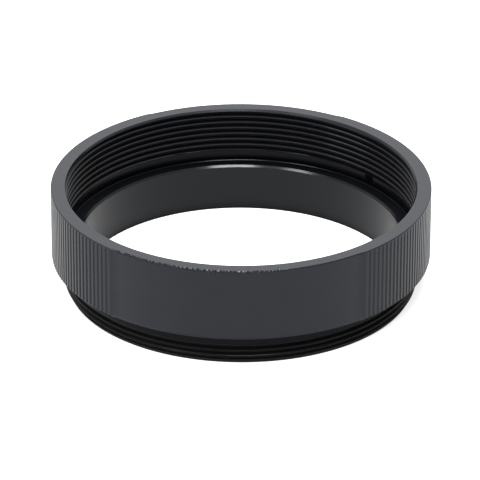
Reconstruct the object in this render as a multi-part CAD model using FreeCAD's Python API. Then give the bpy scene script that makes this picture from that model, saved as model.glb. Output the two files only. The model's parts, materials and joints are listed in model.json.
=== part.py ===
import FreeCAD, Part
import math
import os

# Threaded extension ring in millimetres. The optical axis is Z, and the ring stands on
# the end of its male thread at z = 0. The wider grip panel faces -Y.

# Thread, the same size at both ends (ISO metric profile, as separate turned rings)
thread_major_diameter = 56.0
thread_pitch = 1.0
thread_clearance = 0.04          # taken off the male crests and added to the female ones

# Grip band
band_wall = 1.70                 # between the sleeve's seat and the band's outside
band_height = 11.80
band_edge_break = 0.15
band_bottom_chamfer = 0.30

# Male end below the band
nose_length = 5.15
nose_collar_height = 1.75        # plain part between the band and the thread
nose_taper_height = 1.05         # the thread's end narrows below this height
nose_taper_depth = 0.60

# Female end inside the band
socket_lead_in_height = 0.25
socket_lead_in_width = 0.05
socket_thread_length = 7.00
recess_depth = 0.14              # of the plain wall below the thread, behind its crests
recess_corner_chamfer = 0.08

# Sleeve
nose_wall = 1.84                 # between the thread's root and the bore
ledge_depth = 9.19               # from the top face down to the sleeve's upper face
ledge_lip_chamfer = 0.30
seat_clearance = 0.30            # of the sleeve's seat, beyond the thread's major radius
sleeve_fit_clearance = 0.02

# Knurl and panels
knurl_pitch_angle = 1.8
knurl_depth = 0.30
knurl_mouth_width = 0.46
knurl_floor_width = 0.22
knurl_rim_height = 0.20          # smooth rim between the grooves and the top face
knurl_panel_margin = 0.8         # least angle between a groove and a panel's end
panel_depth = 0.24
panel_cutter_radius = 12.0
front_panel_half_angle = 41.0    # at the band's surface, run-outs included
back_panel_half_angle = 32.0

# Worked-out places
thread_radius = thread_major_diameter / 2
total_height = nose_length + band_height
ledge_height = total_height - ledge_depth
seat_radius = thread_radius + seat_clearance
band_radius = seat_radius + band_wall
sleeve_head_radius = seat_radius - sleeve_fit_clearance

# ISO 68-1: basic thread depth 5/8 H, external root at 17/24 H below the crest
sharp_height = thread_pitch * math.sqrt(3) / 2
male_crest_radius = thread_radius - thread_clearance
male_root_radius = thread_radius - sharp_height * 17 / 24
female_crest_radius = thread_radius - sharp_height * 5 / 8 + thread_clearance
female_root_radius = thread_radius + thread_clearance
flank_slope = math.tan(math.radians(30))
recess_radius = female_crest_radius + recess_depth
bore_radius = male_root_radius - nose_wall


def polar(radius, angle):
    """Point in the plane z = 0. The angle is in degrees from -Y, towards +X."""
    turn = math.radians(angle)
    return FreeCAD.Vector(radius * math.sin(turn), -radius * math.cos(turn), 0)


def revolve(points):
    """Solid of revolution about Z from a closed outline of (radius, z) points."""
    corners = [FreeCAD.Vector(radius, 0, z) for radius, z in points]
    face = Part.Face(Part.makePolygon(corners + corners[:1]))
    return face.revolve(FreeCAD.Vector(0, 0, 0), FreeCAD.Vector(0, 0, 1), 360)


def arc(radius, start, end):
    """Arc about Z, from one angle to the other."""
    middle = polar(radius, (start + end) / 2)
    return Part.Arc(polar(radius, start), middle, polar(radius, end)).toShape()


def panel_run_out():
    """Angle that one concave end of a panel takes up."""
    floor_radius = band_radius - panel_depth
    centre = floor_radius + panel_cutter_radius
    cosine = (band_radius ** 2 + centre ** 2 - panel_cutter_radius ** 2) / (2 * band_radius * centre)
    return math.degrees(math.acos(cosine))


def panel_edges(centre_angle, half_angle):
    """Edges of one panel: concave end, floor about Z, concave end."""
    floor_radius = band_radius - panel_depth
    floor_half = half_angle - panel_run_out()
    edges = []
    for side in (-1, 1):
        outer = polar(band_radius, centre_angle + side * half_angle)
        inner_angle = centre_angle + side * floor_half
        inner = polar(floor_radius, inner_angle)
        cutter = polar(floor_radius + panel_cutter_radius, inner_angle)
        middle_way = (outer - cutter).normalize() + (inner - cutter).normalize()
        middle = cutter + middle_way.normalize() * panel_cutter_radius
        ends = (outer, middle, inner) if side < 0 else (inner, middle, outer)
        edges.append(Part.Arc(*ends).toShape())
    floor = arc(floor_radius, centre_angle - floor_half, centre_angle + floor_half)
    return [edges[0], floor, edges[1]]


def groove_edges(angle):
    """Edges of one knurl groove: flank, floor, flank."""
    mouth = math.degrees(knurl_mouth_width / 2 / band_radius)
    floor_radius = band_radius - knurl_depth
    floor = math.degrees(knurl_floor_width / 2 / floor_radius)
    points = [polar(band_radius, angle - mouth), polar(floor_radius, angle - floor),
              polar(floor_radius, angle + floor), polar(band_radius, angle + mouth)]
    return [Part.makeLine(start, end) for start, end in zip(points, points[1:])]


def knurl_features():
    """Angle, half angle and edges of each knurl groove that stays clear of the panels."""
    count = round(360 / knurl_pitch_angle)
    mouth = math.degrees(knurl_mouth_width / 2 / band_radius)
    features = []
    for index in range(count):
        angle = (index + 0.5) * 360 / count
        from_front = min(angle, 360 - angle)
        from_back = abs(angle - 180)
        if from_front < front_panel_half_angle + knurl_panel_margin:
            continue
        if from_back < back_panel_half_angle + knurl_panel_margin:
            continue
        features.append((angle, mouth, groove_edges(angle)))
    return features


def band_outline(grooves):
    """Closed outline of the band: both panels and the grooves given, in angle order."""
    features = [(0.0, front_panel_half_angle, panel_edges(0.0, front_panel_half_angle)),
                (180.0, back_panel_half_angle, panel_edges(180.0, back_panel_half_angle))]
    features = sorted(features + grooves, key=lambda feature: feature[0])
    edges = []
    following = features[1:] + [(360 + features[0][0],) + features[0][1:]]
    for feature, after in zip(features, following):
        edges.extend(feature[2])
        edges.append(arc(band_radius, feature[0] + feature[1], after[0] - after[1]))
    return Part.Wire(edges)


def thread_turns(length):
    """Whole grooves that a threaded length holds."""
    return int(length / thread_pitch + 1e-6)


def female_thread(top, bottom):
    """Outline points down the socket's threaded wall, one V groove a pitch."""
    mouth_half = thread_pitch * 3 / 8 - thread_clearance * flank_slope
    depth = female_root_radius - female_crest_radius
    floor_half = mouth_half - depth * flank_slope
    points = []
    for turn in range(thread_turns(top - bottom)):
        middle = top - (turn + 0.5) * thread_pitch
        points += [(female_crest_radius, middle + mouth_half), (female_root_radius, middle + floor_half),
                   (female_root_radius, middle - floor_half), (female_crest_radius, middle - mouth_half)]
    return points


def male_thread(bottom, top):
    """Outline points up the nose's threaded wall, one V groove a pitch."""
    depth = male_crest_radius - male_root_radius
    floor_half = thread_pitch / 8
    mouth_half = floor_half + depth * flank_slope
    points = []
    for turn in range(thread_turns(top - bottom)):
        middle = top - (turn + 0.5) * thread_pitch
        points += [(male_crest_radius, middle + mouth_half), (male_root_radius, middle + floor_half),
                   (male_root_radius, middle - floor_half), (male_crest_radius, middle - mouth_half)]
    points.reverse()
    return points


def band_prism(grooves, bottom, top):
    """Straight length of the band between two heights."""
    outline = Part.Face(band_outline(grooves))
    outline.translate(FreeCAD.Vector(0, 0, bottom))
    return outline.extrude(FreeCAD.Vector(0, 0, top - bottom))


def grip_ring():
    """Band with its knurl, panels, threaded socket, recess and the sleeve's seat."""
    knurl_top = total_height - knurl_rim_height
    knurled = band_prism(knurl_features(), nose_length, knurl_top)
    rim = band_prism([], knurl_top, total_height)
    thread_top = total_height - socket_lead_in_height
    thread_bottom = thread_top - socket_thread_length
    mouth_radius = female_crest_radius + socket_lead_in_width
    body = revolve(
        [(mouth_radius, total_height), (female_crest_radius, thread_top)]
        + female_thread(thread_top, thread_bottom)
        + [(female_crest_radius, thread_bottom), (recess_radius, thread_bottom - recess_depth),
           (recess_radius, ledge_height + recess_corner_chamfer),
           (recess_radius - recess_corner_chamfer, ledge_height),
           (seat_radius, ledge_height), (seat_radius, nose_length),
           (band_radius - band_bottom_chamfer, nose_length),
           (band_radius, nose_length + band_bottom_chamfer),
           (band_radius, total_height - band_edge_break),
           (band_radius - band_edge_break, total_height)])
    return knurled.fuse(rim).removeSplitter().common(body)


def nose_taper():
    """Metal that the tapered end of the nose leaves off."""
    return revolve(
        [(male_crest_radius - nose_taper_depth, 0), (sleeve_head_radius, 0),
         (sleeve_head_radius, nose_taper_height), (male_crest_radius, nose_taper_height)])


def threaded_sleeve():
    """Bored sleeve: its head seats inside the band, its nose carries the male thread."""
    sleeve = revolve(
        [(bore_radius, 0), (male_crest_radius, 0)]
        + male_thread(0, nose_length - nose_collar_height)
        + [(male_crest_radius, nose_length), (sleeve_head_radius, nose_length),
           (sleeve_head_radius, ledge_height),
           (bore_radius + ledge_lip_chamfer, ledge_height),
           (bore_radius, ledge_height - ledge_lip_chamfer)])
    return sleeve.cut(nose_taper())


os.makedirs("parts", exist_ok=True)
for name, shape in (("grip_ring", grip_ring()), ("threaded_sleeve", threaded_sleeve())):
    solid = shape.Solids[0]
    print(name, "solids", len(shape.Solids), "valid", shape.isValid(), "volume", round(solid.Volume, 1),
          "z", round(shape.BoundBox.ZMin, 3), round(shape.BoundBox.ZMax, 3))
    shape.exportStep("parts/" + name + ".step")
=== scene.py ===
import json
import math

import bmesh
import bpy
import numpy as np
from mathutils import Matrix, Vector


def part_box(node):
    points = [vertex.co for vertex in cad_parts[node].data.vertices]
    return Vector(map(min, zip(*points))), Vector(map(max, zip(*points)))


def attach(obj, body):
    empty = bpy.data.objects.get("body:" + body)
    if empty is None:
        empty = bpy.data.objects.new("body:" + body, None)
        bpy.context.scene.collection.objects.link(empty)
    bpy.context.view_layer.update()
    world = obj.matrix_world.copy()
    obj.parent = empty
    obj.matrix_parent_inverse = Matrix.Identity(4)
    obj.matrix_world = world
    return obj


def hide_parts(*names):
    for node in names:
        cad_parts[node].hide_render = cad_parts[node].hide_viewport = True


# Threaded extension ring, in metres. Angles run from -Y towards +X, once round from the
# back to the back, in radians, but in degrees where they are given as values below.
mm = 0.001
mergeDistance = 0.0005 * mm     # points closer than this are one point
sharpAngle = 28                 # edges that bend more than this, in degrees, stay crisp

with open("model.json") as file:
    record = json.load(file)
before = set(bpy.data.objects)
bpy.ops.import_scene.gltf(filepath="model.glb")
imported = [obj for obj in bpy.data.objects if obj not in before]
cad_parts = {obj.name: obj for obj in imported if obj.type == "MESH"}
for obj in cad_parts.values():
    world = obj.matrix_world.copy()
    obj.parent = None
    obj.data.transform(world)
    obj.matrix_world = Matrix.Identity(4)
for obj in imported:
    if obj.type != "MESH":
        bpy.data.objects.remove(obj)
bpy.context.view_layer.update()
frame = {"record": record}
mounts = {mount["name"]: mount for mount in frame["record"]["mounts"]}
print("frame loaded")


def around(radius, angle, height):
    # points of a ring: radius and height may change with the angle
    radius, angle, height = np.broadcast_arrays(radius, angle, height)
    return np.stack([radius * np.sin(angle), -radius * np.cos(angle), height], axis=-1)


def gridFaces(rows, columns, first=0):
    # quads between neighbouring rows and columns of a grid of points
    index = np.arange(rows * columns).reshape(rows, columns) + first
    corners = [index[:-1, :-1], index[:-1, 1:], index[1:, 1:], index[1:, :-1]]
    return np.stack(corners, axis=-1).reshape(-1, 4)


def bridgeFaces(fine, coarse):
    # flat faces from each edge of a coarse row to the edges of a finer row beside it
    share = (len(fine) - 1) // (len(coarse) - 1)
    start = np.arange(len(coarse) - 1)
    far = fine[start[:, None] * share + np.arange(share, -1, -1)]
    return np.concatenate([coarse[start][:, None], coarse[start + 1][:, None], far], axis=1)


def makePiece(name, points, faces):
    # mesh from points and groups of faces, with its doubles merged and its edges marked
    mesh = bpy.data.meshes.new(name)
    mesh.from_pydata(points.tolist(), [], [face for group in faces for face in group.tolist()])
    shape = bmesh.new()
    shape.from_mesh(mesh)
    bmesh.ops.remove_doubles(shape, verts=shape.verts, dist=mergeDistance)
    bmesh.ops.recalc_face_normals(shape, faces=shape.faces)
    openEdges = sum(1 for edge in shape.edges if len(edge.link_faces) != 2)
    shape.to_mesh(mesh)
    shape.free()
    mesh.shade_smooth()
    mesh.set_sharp_from_angle(angle=math.radians(sharpAngle))
    piece = bpy.data.objects.new(name, mesh)
    bpy.context.scene.collection.objects.link(piece)
    print(name, "faces", len(mesh.polygons), "open edges", openEdges)
    return piece


thread = {
    "pitch": 1.0 * mm,
    "columns": 400,         # once round
    "rowsPerTurn": 16,
    "crestHalf": 0.06,      # half widths, as a share of the pitch
    "rootHalf": 0.07,
    "softness": 0.4,
    "runOut": 0.25,         # turns over which a groove fades at its closed end
    "runIn": 0.04,          # and where it starts at the socket's mouth
}


def eased(share):
    # from 0 to 1, with no slope at either end
    return share * share * (3 - 2 * share)


def crestShare(height, angle, phase):
    # right-hand helix: 1 on the crest, 0 in the root, nearly straight flanks between
    turn = height / thread["pitch"] - angle / (2 * math.pi) - phase
    away = np.abs(turn - np.round(turn))
    flank = 0.5 - thread["rootHalf"] - thread["crestHalf"]
    straight = np.clip((0.5 - thread["rootHalf"] - away) / flank, 0, 1)
    return straight + thread["softness"] * (eased(straight) - straight)


def grooveMiddle(height, angle, phase):
    # height of the middle of the groove that each point lies in
    climb = angle / (2 * math.pi) + phase
    return thread["pitch"] * (np.floor(height / thread["pitch"] - climb) + 0.5 + climb)


def helixHeights(low, high, angle):
    # rows that climb with the helix and are held at the two ends of the thread
    step = thread["pitch"] / thread["rowsPerTurn"]
    reach = thread["pitch"] / 2 + step
    rows = np.arange(math.floor((low - reach) / step), math.ceil((high + reach) / step) + 1) * step
    climb = thread["pitch"] * angle / (2 * math.pi)
    return np.clip(rows[:, None] + climb[None, :], low, high)


band = {
    "grooves": 200,
    "grooveDepth": 0.17 * mm,
    "grooveFloor": 0.10,        # half widths, as a share of the groove spacing
    "grooveMouth": 0.262,
    "grooveSamples": (-0.5, -0.33, -0.25, -0.13, 0, 0.13, 0.25, 0.33),  # from its middle
    "grooveMargin": 0.8,        # least angle between a groove's middle and a panel
    "grooveRunOut": 0.20 * mm,
    "rimHeight": 0.20 * mm,     # smooth rim above the grooves
    "rimRounding": 0.18 * mm,
    "rimSteps": 4,
    "panelDepth": 0.24 * mm,
    "cutterRadius": 12.0 * mm,
    "panelHalfAngles": (41.0, 32.0),  # front and back
    "panelBreak": 0.20 * mm,    # uneven 45 degree edge above the front panel
    "breakUnevenness": 0.065 * mm,
    "breakLimit": 1.5,          # most that the unevenness is multiplied by
    "breakSeed": 7,
    "breakNarrows": (10.0, 16.0),  # angles between which it narrows
    "narrowBreak": 0.20,        # share of its width that is left there and above the back panel
    "steepBreak": (0.09 * mm, 0.15 * mm),  # width and height of the steeper edge below it
    "panelRimDrop": 0.34 * mm,  # how much lower the rim starts on the panels
    "flatMargin": 0.05 * mm,    # keeps the top face flat up to its rim
    "bevelHeight": 0.45 * mm,   # slight bevel below each panel
    "bevelDepth": 0.14 * mm,
    "bottomChamfer": 0.30 * mm,
    "bottomRounding": 0.06 * mm,
    "leadInHeight": 0.36 * mm,
    "leadInWidth": 0.03 * mm,
    "mouthWidth": 0.22 * mm,    # chamfer above the lead-in
    "mouthHeight": 0.32 * mm,
    "satinBelowMouth": 0.02 * mm,
    "threadLength": 6.89 * mm,
    "threadDepth": 0.541 * mm,
    "threadPhase": 0.10,        # height of a crest at angle 0, as a share of the pitch
    "paintedHighlightDepth": 0.12 * mm,    # faces this close to the crest get the glossier copy of the coating, a painted highlight
    "recessDepth": 0.14 * mm,
    "cornerChamfer": 0.08 * mm,
    "seatWall": 1.70 * mm,
}


def panelOutline(away, half, outer):
    # one panel: a floor about the axis, with concave ends left by a round cutter
    floor = outer - band["panelDepth"]
    cutter = band["cutterRadius"]
    centre = floor + cutter
    runOut = math.acos((outer ** 2 + centre ** 2 - cutter ** 2) / (2 * outer * centre))
    past = np.clip(away - (half - runOut), 0, runOut)
    concave = centre * np.cos(past) - np.sqrt(cutter ** 2 - (centre * np.sin(past)) ** 2)
    return np.where(away < half, concave, outer)


def grooveDepths(angle):
    # depth of the straight knurl at each angle, with none near the panels
    spacing = 2 * math.pi / band["grooves"]
    place = angle / spacing - 0.5
    away = np.abs(place - np.round(place))
    blend = np.clip((away - band["grooveFloor"]) / (band["grooveMouth"] - band["grooveFloor"]), 0, 1)
    depth = band["grooveDepth"] * (1 - eased(blend))
    fromFront = np.abs(np.round(place) + 0.5) * spacing
    frontHalf, backHalf = np.radians(band["panelHalfAngles"])
    margin = math.radians(band["grooveMargin"])
    clear = (fromFront > frontHalf + margin) & (math.pi - fromFront > backHalf + margin)
    return np.where(clear, depth, 0)


def bandAngles():
    # columns at the grooves' corners, with the nearest ones moved to the panels' ends
    spacing = 2 * math.pi / band["grooves"]
    samples = np.array(band["grooveSamples"]) + 0.5
    angles = (np.arange(band["grooves"])[:, None] + samples).ravel() * spacing - math.pi
    angles = np.append(angles, math.pi)
    frontHalf, backHalf = np.radians(band["panelHalfAngles"])
    for end in (-frontHalf, frontHalf, backHalf - math.pi, math.pi - backHalf):
        angles[np.argmin(np.abs(angles - end))] = end
    return angles


def bandColumns():
    # angle of each column, the band's radius there without its grooves, and how far it
    # lies on a panel, from 0 to 1
    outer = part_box("grip_ring")[1].x
    angles = bandAngles()
    fromFront = np.abs(angles)
    frontHalf, backHalf = np.radians(band["panelHalfAngles"])
    plain = np.minimum(panelOutline(fromFront, frontHalf, outer),
                       panelOutline(math.pi - fromFront, backHalf, outer))
    return angles, plain, (outer - plain) / band["panelDepth"]


def bandWall(angles, plain, onPanel):
    # from the bottom edge up to the rim: chamfer, panels' bevel, grooves that fade out
    low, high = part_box("grip_ring")
    outer, bottom, top = high.x, low.z, high.z
    bevelTop = bottom + band["bevelHeight"]
    knurlTop = top - band["rimHeight"]
    fadeStart = knurlTop - band["grooveRunOut"]
    support = band["bottomRounding"]
    heights = np.array([bottom, bottom + support, bottom + band["bottomChamfer"], bevelTop,
                        bevelTop + support, fadeStart - support, fadeStart, knurlTop])[:, None]
    heights = heights - band["panelRimDrop"] * onPanel * (heights > bevelTop + support)
    fade = np.clip((knurlTop - heights) / band["grooveRunOut"], 0, 1)
    bevel = np.clip((bevelTop - heights) / band["bevelHeight"], 0, 1)
    softened = np.clip(bottom + support - heights, 0, None)
    radius = plain - grooveDepths(angles) * fade - band["bevelDepth"] * bevel * onPanel - softened
    radius = np.minimum(radius, outer - band["bottomChamfer"] + heights - bottom)
    return around(radius, angles, heights)


def breakWidths(angles):
    # width of the uneven edge: a random one at each column, which narrows to the right
    # on the front panel and is narrow all along the back one
    chance = np.random.default_rng(band["breakSeed"]).normal(size=len(angles) - 1)
    chance = np.clip(np.append(chance, chance[0]), -band["breakLimit"], band["breakLimit"])
    frontHalf = math.radians(band["panelHalfAngles"][0])
    narrowStart, narrowEnd = np.radians(band["breakNarrows"])
    narrowing = np.clip((angles - narrowStart) / (narrowEnd - narrowStart), 0, 1)
    narrow = np.where(np.abs(angles) < frontHalf, narrowing, 1)
    uneven = band["panelBreak"] + band["breakUnevenness"] * chance
    return uneven * (1 - (1 - band["narrowBreak"]) * narrow)


def bandRim(angles, plain, onPanel):
    # a quarter round, but along the panels a steep edge and above it the uneven one,
    # and then the outer part of the top face
    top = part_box("grip_ring")[1].z
    uneven = breakWidths(angles)
    steepWidth, steepHeight = band["steepBreak"]
    bend = np.linspace(0, math.pi / 2, band["rimSteps"] + 1)[:, None]
    lower = np.clip(np.linspace(0, 2, band["rimSteps"] + 1), 0, 1)[:, None]
    upper = np.clip(np.linspace(-1, 1, band["rimSteps"] + 1), 0, 1)[:, None]
    roundedIn = band["rimRounding"] * (1 - np.cos(bend))
    roundedDown = band["rimRounding"] * (1 - np.sin(bend))
    panelIn = steepWidth * lower + uneven * upper
    panelDown = steepHeight * (1 - lower) + uneven * (1 - upper)
    inward = roundedIn + (panelIn - roundedIn) * onPanel
    drop = roundedDown + (panelDown - roundedDown) * onPanel
    rim = around(plain - inward, angles, top - drop)
    flat = around(plain - inward[-1] - band["flatMargin"], angles, top)[None]
    return np.concatenate([rim, flat])


def socketWall():
    # the sleeve's seat, the recess above the ledge, the thread, the lead-in and the mouth
    low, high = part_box("grip_ring")
    outer, bottom, top = high.x, low.z, high.z
    crest = mounts["female_thread"]["dims"]["r_mm"] * mm
    recess = crest + band["recessDepth"]
    threadTop = top - band["leadInHeight"]
    threadBottom = threadTop - band["threadLength"]
    angles = np.linspace(-math.pi, math.pi, thread["columns"] + 1)
    edge = top - band["mouthHeight"]
    rows = helixHeights(threadBottom - band["recessDepth"], edge, angles)
    middle = grooveMiddle(rows, angles, band["threadPhase"])
    opened = np.clip((middle - threadBottom) / (thread["runOut"] * thread["pitch"]), 0, 1)
    begun = np.clip((threadTop - middle) / (thread["runIn"] * thread["pitch"]) + 1, 0, 1)
    deep = 1 - crestShare(rows, angles, band["threadPhase"])
    radius = crest + band["threadDepth"] * deep * opened * begun
    leadIn = crest + band["leadInWidth"] * (rows - threadTop) / band["leadInHeight"]
    radius = np.maximum(np.maximum(radius, leadIn), crest + threadBottom - rows)
    threaded = around(radius, angles, rows)
    mouth = around(crest + band["leadInWidth"] + band["mouthWidth"], angles, top)[None]
    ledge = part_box("threaded_sleeve")[1].z
    corner = band["cornerChamfer"]
    seat = outer - band["seatWall"]
    below = [(seat, bottom), (seat, ledge), (recess - corner, ledge), (recess, ledge + corner),
             (recess, ledge + 2 * corner)]
    return np.concatenate([np.stack([around(r, angles, z) for r, z in below]), threaded, mouth])


def makeGripRing():
    # the band's outside and the socket are grids, joined along the top and the bottom
    columns = bandColumns()
    outside = np.concatenate([bandWall(*columns), bandRim(*columns)])
    inside = socketWall()
    points = np.concatenate([outside.reshape(-1, 3), inside.reshape(-1, 3)])
    first = outside.shape[0] * outside.shape[1]
    outsideIndex = np.arange(first).reshape(outside.shape[:2])
    insideIndex = np.arange(inside.shape[0] * inside.shape[1]).reshape(inside.shape[:2]) + first
    faces = [gridFaces(*outside.shape[:2]), gridFaces(*inside.shape[:2], first),
             bridgeFaces(outsideIndex[-1], insideIndex[-1]), bridgeFaces(outsideIndex[0], insideIndex[0])]
    return makePiece("gripRing", points, faces)


sleeve = {
    "boreRadius": 25.547 * mm,
    "lipChamfer": 0.30 * mm,
    "lipMiddle": (0.52, 0.46),  # out from the bore and down, as a share of the chamfer
    "collarHeight": 1.75 * mm,
    "threadDepth": 0.573 * mm,
    "threadPhase": 0.40,
    # faces this close to the nose's crests get the glossier copy of the coating, a painted highlight
    "paintedHighlightDepth": 0.06 * mm,
    "taperHeight": 1.05 * mm,
    "taperDepth": 0.60 * mm,
}


def makeSleeve():
    # one closed profile once round: nose, collar, head, lip and bore
    low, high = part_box("threaded_sleeve")
    head, top, bottom = high.x, high.z, low.z
    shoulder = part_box("grip_ring")[0].z
    crest = mounts["male_thread"]["dims"]["r_mm"] * mm
    threadTop = shoulder - sleeve["collarHeight"]
    angle = np.linspace(-math.pi, math.pi, thread["columns"] + 1)

    # nose: its groove fades out at the back, where it reaches the plain collar
    rows = helixHeights(bottom, threadTop + thread["pitch"], angle)
    middle = grooveMiddle(rows, angle, sleeve["threadPhase"])
    opened = np.clip((threadTop - middle) / (thread["runOut"] * thread["pitch"]), 0, 1)
    deep = 1 - crestShare(rows, angle, sleeve["threadPhase"])
    taper = sleeve["taperDepth"] * np.clip(1 - (rows - bottom) / sleeve["taperHeight"], 0, 1)
    threaded = around(np.minimum(crest - sleeve["threadDepth"] * deep * opened, crest - taper), angle, rows)

    # head, chamfered lip with a softened middle, and bore
    bore, lip = sleeve["boreRadius"], sleeve["lipChamfer"]
    above = [(crest, shoulder), (head, shoulder), (head, top), (bore + lip, top),
             (bore + sleeve["lipMiddle"][0] * lip, top - sleeve["lipMiddle"][1] * lip),
             (bore, top - lip), (bore, top / 2), (bore, bottom)]
    plain = np.stack([around(r, angle, z) for r, z in above])
    # the first row comes again at the end, which closes the wall
    grid = np.concatenate([threaded, plain, threaded[:1]])
    return makePiece("threadedSleeve", grid.reshape(-1, 3), [gridFaces(*grid.shape[:2])])


markInputs = {
    "Rings": 9000.0,            # noise scales, per metre
    "Mottle": 260.0,
    "Roughness": 0.4,           # each finish gives its own for these two
    "Spread": 0.06,
}
ringDetail = 2
mottleDetail = 4
noiseMiddle = 0.5


def turningMarks():
    # fine rings left by the lathe and a faint mottle in the coating
    group = bpy.data.node_groups.new("turningMarks", "ShaderNodeTree")
    for name, value in markInputs.items():
        socket = group.interface.new_socket(name, in_out="INPUT", socket_type="NodeSocketFloat")
        socket.default_value = value
    for name in ("Height", "Roughness", "Shade"):
        group.interface.new_socket(name, in_out="OUTPUT", socket_type="NodeSocketFloat")
    nodes, link = group.nodes, group.links.new
    given, result = nodes.new("NodeGroupInput"), nodes.new("NodeGroupOutput")
    place = nodes.new("ShaderNodeTexCoord")
    split = nodes.new("ShaderNodeSeparateXYZ")
    link(place.outputs["Object"], split.inputs[0])
    flat = nodes.new("ShaderNodeVectorMath")
    flat.operation = "MULTIPLY"
    flat.inputs[1].default_value = (1, 1, 0)
    link(place.outputs["Object"], flat.inputs[0])
    radius = nodes.new("ShaderNodeVectorMath")
    radius.operation = "LENGTH"
    link(flat.outputs[0], radius.inputs[0])
    both = nodes.new("ShaderNodeCombineXYZ")
    link(radius.outputs["Value"], both.inputs[0])
    link(split.outputs[2], both.inputs[2])
    rings = nodes.new("ShaderNodeTexNoise")
    rings.inputs["Detail"].default_value = ringDetail
    link(both.outputs[0], rings.inputs["Vector"])
    link(given.outputs["Rings"], rings.inputs["Scale"])
    mottle = nodes.new("ShaderNodeTexNoise")
    mottle.inputs["Detail"].default_value = mottleDetail
    link(place.outputs["Object"], mottle.inputs["Vector"])
    link(given.outputs["Mottle"], mottle.inputs["Scale"])
    link(rings.outputs[0], result.inputs["Height"])
    link(mottle.outputs[0], result.inputs["Shade"])
    centred = nodes.new("ShaderNodeMath")
    centred.operation = "SUBTRACT"
    centred.inputs[1].default_value = noiseMiddle
    link(mottle.outputs[0], centred.inputs[0])
    rough = nodes.new("ShaderNodeMath")
    rough.operation = "MULTIPLY_ADD"
    link(centred.outputs[0], rough.inputs[0])
    link(given.outputs["Spread"], rough.inputs[1])
    link(given.outputs["Roughness"], rough.inputs[2])
    link(rough.outputs[0], result.inputs["Roughness"])
    return group


# satinAnodised is the ring's own coating; the socket, collar, nose-thread and ledge entries are copies of
# the black coating that carry painted highlight, light and shade
finishesAndPaintedLight = {
    # name: (dark colour, light colour, roughness, its spread, ring depth, IOR)
    "satinAnodised": ((0.0035, 0.0045, 0.0075), (0.008, 0.0098, 0.0145), 0.25, 0.08, 0.002 * mm, 1.38),
    # painted highlight: a glossier copy of the black coating on the socket's thread crests
    "socketCrestsPaintedHighlight": ((0.001, 0.001, 0.0015), (0.002, 0.002, 0.003), 0.15, 0.06, 0.001 * mm, 1.50),
    # painted shade: duller, darker copies of the coating on the socket's flanks and in the recess below the
    # thread
    "socketFlanksPaintedShade": ((0.002, 0.002, 0.003), (0.004, 0.004, 0.006), 0.30, 0.08, 0.001 * mm, 1.20),
    "socketRecessPaintedShade": ((0.001, 0.001, 0.0015), (0.002, 0.002, 0.003), 0.25, 0.08, 0.001 * mm, 1.22),
    # painted shade: the darkest, dullest copy of the coating on the plain collar under the band
    "noseCollarPaintedShade": ((0.001, 0.001, 0.0015), (0.002, 0.002, 0.003), 0.20, 0.08, 0.001 * mm, 1.20),
    # painted highlight on the nose's crests, a glossier copy, and painted light in its roots, a lighter
    # copy of the coating
    "noseCrestsPaintedHighlight": ((0.004, 0.004, 0.0045), (0.007, 0.007, 0.0075), 0.20, 0.08, 0.001 * mm, 1.25),
    "noseFlanksPaintedLight": ((0.012, 0.012, 0.013), (0.020, 0.020, 0.021), 0.30, 0.08, 0.001 * mm, 1.16),
    "boreFinish": ((0.0006, 0.0006, 0.0010), (0.0016, 0.0016, 0.0024), 0.20, 0.08, 0.001 * mm, 1.34),
    "lipFinish": ((0.0015, 0.0015, 0.0025), (0.005, 0.005, 0.007), 0.18, 0.15, 0.006 * mm, 1.32),
    # painted light: a lighter copy of the coating on the ledge, which faces up
    "ledgePaintedLight": ((0.001, 0.0014, 0.002), (0.003, 0.0036, 0.005), 0.35, 0.08, 0.002 * mm, 1.22),
}
coatTint = (0.92, 0.95, 1.0)    # of what the coating reflects
markStrength = 0.6              # of the turning marks


def anodised(name, marks):
    dark, light, roughness, spread, ringDepth, ior = finishesAndPaintedLight[name]
    material = bpy.data.materials.new(name)
    material.use_nodes = True
    nodes, link = material.node_tree.nodes, material.node_tree.links.new
    shader = nodes["Principled BSDF"]
    shader.inputs["IOR"].default_value = ior
    shader.inputs["Specular Tint"].default_value = (*coatTint, 1)
    effect = nodes.new("ShaderNodeGroup")
    effect.node_tree = marks
    effect.inputs["Roughness"].default_value = roughness
    effect.inputs["Spread"].default_value = spread
    colour = nodes.new("ShaderNodeMix")
    colour.data_type = "RGBA"
    colour.inputs["A"].default_value = (*dark, 1)
    colour.inputs["B"].default_value = (*light, 1)
    link(effect.outputs["Shade"], colour.inputs["Factor"])
    link(colour.outputs["Result"], shader.inputs["Base Color"])
    link(effect.outputs["Roughness"], shader.inputs["Roughness"])
    relief = nodes.new("ShaderNodeBump")
    relief.inputs["Distance"].default_value = ringDepth
    relief.inputs["Strength"].default_value = markStrength
    link(effect.outputs["Height"], relief.inputs["Height"])
    link(relief.outputs[0], shader.inputs["Normal"])
    return material


def faceCentres(piece):
    # radius and height of each face's centre
    centres = np.empty(len(piece.data.polygons) * 3)
    piece.data.polygons.foreach_get("center", centres)
    x, y, height = centres.reshape(-1, 3).T
    return np.hypot(x, y), height


def paint(piece, regions, rest):
    # each face takes the look of the first region that it lies in, or else the rest's; on the socket, the
    # collar, the nose's thread and the ledge these looks are painted highlight, light and shade
    for name in (*regions, rest):
        piece.data.materials.append(looks[name])
    index = np.select(list(regions.values()), list(range(len(regions))), len(regions))
    piece.data.polygons.foreach_set("material_index", index.astype(np.int32))


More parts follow.
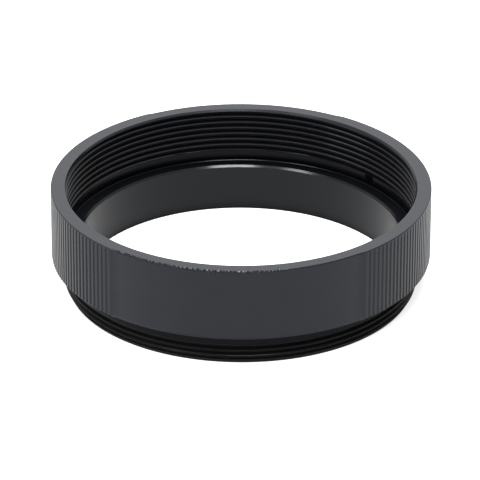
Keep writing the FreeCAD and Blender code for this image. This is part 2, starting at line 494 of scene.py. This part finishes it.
gripRing = makeGripRing()
threadedSleeve = makeSleeve()
marks = turningMarks()
looks = {name: anodised(name, marks) for name in finishesAndPaintedLight}
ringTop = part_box("grip_ring")[1].z
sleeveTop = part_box("threaded_sleeve")[1].z
socketCrest = mounts["female_thread"]["dims"]["r_mm"] * mm
noseCrest = mounts["male_thread"]["dims"]["r_mm"] * mm
threadFloor = ringTop - band["leadInHeight"] - band["threadLength"]
mouthFloor = ringTop - band["leadInHeight"] - band["satinBelowMouth"]
radius, height = faceCentres(gripRing)
# inside the socket: painted highlight on the crests, painted shade on the flanks and in the recess
paint(gripRing, {
    "satinAnodised": (radius > noseCrest + band["threadDepth"]) | (height > mouthFloor),
    "socketRecessPaintedShade": height < threadFloor,
    "socketCrestsPaintedHighlight": radius < socketCrest + band["paintedHighlightDepth"],
}, "socketFlanksPaintedShade")
lipOuter = sleeve["boreRadius"] + sleeve["lipChamfer"]
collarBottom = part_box("grip_ring")[0].z - sleeve["collarHeight"]
radius, height = faceCentres(threadedSleeve)
# on the sleeve: painted light on the ledge, painted shade on the collar under the band, painted highlight
# on the nose's crests and painted light in its roots
paint(threadedSleeve, {
    "boreFinish": radius < sleeve["boreRadius"],
    "lipFinish": radius < lipOuter,
    "ledgePaintedLight": height > sleeveTop - sleeve["lipChamfer"],
    "noseCollarPaintedShade": height > collarBottom,
    "noseCrestsPaintedHighlight": radius > noseCrest - sleeve["paintedHighlightDepth"],
}, "noseFlanksPaintedLight")
for piece, node, slotName in ((gripRing, "grip_ring", "satin_anodised"),
                              (threadedSleeve, "threaded_sleeve", "black_anodised")):
    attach(piece, "root")
    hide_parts(node)
print("pieces finished")

stage = {
    "floorSize": 6.0,
    "floorGap": 0.01 * mm,      # keeps the floor clear of the ring's end face
    "floorRoughness": 0.9,
    "floorColour": 0.8,
    "floorGlow": 0.80,          # as the camera sees it
    "reflectedGlow": 0.02,      # as it shows in glossy and clear surfaces
    "worldLight": 0.10,
}


def seenLevel(tree, seen, reflected, other):
    # one level for camera rays, one for glossy and transmission rays, one for the rest
    path = tree.nodes.new("ShaderNodeLightPath")
    value = None
    for name, level in (("Is Transmission Ray", reflected), ("Is Glossy Ray", reflected),
                        ("Is Camera Ray", seen)):
        choose = tree.nodes.new("ShaderNodeMix")
        choose.inputs["A"].default_value = other
        choose.inputs["B"].default_value = level
        tree.links.new(path.outputs[name], choose.inputs["Factor"])
        if value:
            tree.links.new(value, choose.inputs["A"])
        value = choose.outputs["Result"]
    return value


def makeFloor():
    # the camera sees it white, apart from the ring's shadow
    half = stage["floorSize"] / 2
    low = -stage["floorGap"]
    mesh = bpy.data.meshes.new("floor")
    corners = [(-half, -half, low), (half, -half, low), (half, half, low), (-half, half, low)]
    mesh.from_pydata(corners, [], [(0, 1, 2, 3)])
    floor = bpy.data.objects.new("floor", mesh)
    bpy.context.scene.collection.objects.link(floor)
    material = bpy.data.materials.new("whiteFloor")
    material.use_nodes = True
    tree = material.node_tree
    shader = tree.nodes["Principled BSDF"]
    shader.inputs["Base Color"].default_value = (stage["floorColour"],) * 3 + (1,)
    shader.inputs["Roughness"].default_value = stage["floorRoughness"]
    shader.inputs["Specular IOR Level"].default_value = 0
    shader.inputs["Emission Color"].default_value = (1, 1, 1, 1)
    glow = seenLevel(tree, stage["floorGlow"], stage["reflectedGlow"], 0)
    tree.links.new(glow, shader.inputs["Emission Strength"])
    mesh.materials.append(material)


def makeWorld():
    # white where it is seen or mirrored, and dim as a light
    world = bpy.data.worlds.new("studio")
    bpy.context.scene.world = world
    world.use_nodes = True
    tree = world.node_tree
    background = tree.nodes["Background"]
    background.inputs["Color"].default_value = (1, 1, 1, 1)
    tree.links.new(seenLevel(tree, 1, 1, stage["worldLight"]), background.inputs["Strength"])


lampTarget = 8 * mm             # height on the axis that the lamps face
lamps = [
    # name, azimuth from -Y and elevation, distance, width and height, power in watts
    ("mainLamp", 180, 78, 0.9, 0.24, 0.24, 7.4),
    ("backLamp", 180, 36, 1.3, 1.0, 1.0, 2.2),
    ("frontTopLamp", 10, 64, 0.9, 0.33, 0.16, 5.2),
    ("frontLeftLamp", -55, 57, 0.9, 0.19, 0.15, 2.0),
    ("leftLamp", -72, 4, 1.1, 0.6, 0.6, 4.0),
]


def makeLamps():
    # rectangular lamps that all face the same point on the axis
    centre = Vector((0, 0, lampTarget))
    for name, azimuth, elevation, distance, width, height, power in lamps:
        turn, rise = math.radians(azimuth), math.radians(elevation)
        way = Vector((math.sin(turn) * math.cos(rise), -math.cos(turn) * math.cos(rise), math.sin(rise)))
        light = bpy.data.lights.new(name, "AREA")
        light.shape = "RECTANGLE"
        light.size = width
        light.size_y = height
        light.energy = power
        lamp = bpy.data.objects.new(name, light)
        lamp.location = centre + way * distance
        lamp.rotation_euler = way.to_track_quat("Z", "Y").to_euler()
        bpy.context.scene.collection.objects.link(lamp)


camera = {
    "elevation": 27.08,         # degrees
    "azimuth": 1.2,
    "roll": 0.17,
    "distance": 716.1 * mm,
    "originRight": 0.132 * mm,  # where the origin lies from the middle of the view
    "originUp": -6.353 * mm,
    "lens": 337.5,              # focal length and sensor in millimetres
    "sensorWidth": 36,
    "clipEnd": 20,              # metres
}


def makeCamera():
    # stands in front and above, a little to the right, and is slightly rolled
    rise, turn, roll = (math.radians(camera[key]) for key in ("elevation", "azimuth", "roll"))
    back = Vector((0, -math.cos(rise), math.sin(rise)))
    right = Vector((1, 0, 0))
    up = back.cross(right)
    side = right * math.cos(roll) + up * math.sin(roll)
    upright = up * math.cos(roll) - right * math.sin(roll)
    place = back * camera["distance"] - side * camera["originRight"] - upright * camera["originUp"]
    facing = Matrix((side, upright, back)).transposed().to_4x4()
    data = bpy.data.cameras.new("camera")
    data.lens = camera["lens"]
    data.sensor_width = camera["sensorWidth"]
    data.clip_end = camera["clipEnd"]
    view = bpy.data.objects.new("camera", data)
    view.matrix_world = Matrix.Rotation(turn, 4, "Z") @ Matrix.Translation(place) @ facing
    bpy.context.scene.collection.objects.link(view)
    bpy.context.scene.camera = view


makeFloor()
makeWorld()
makeLamps()
makeCamera()
bpy.context.scene.view_settings.view_transform = "Standard"
print("stage finished")
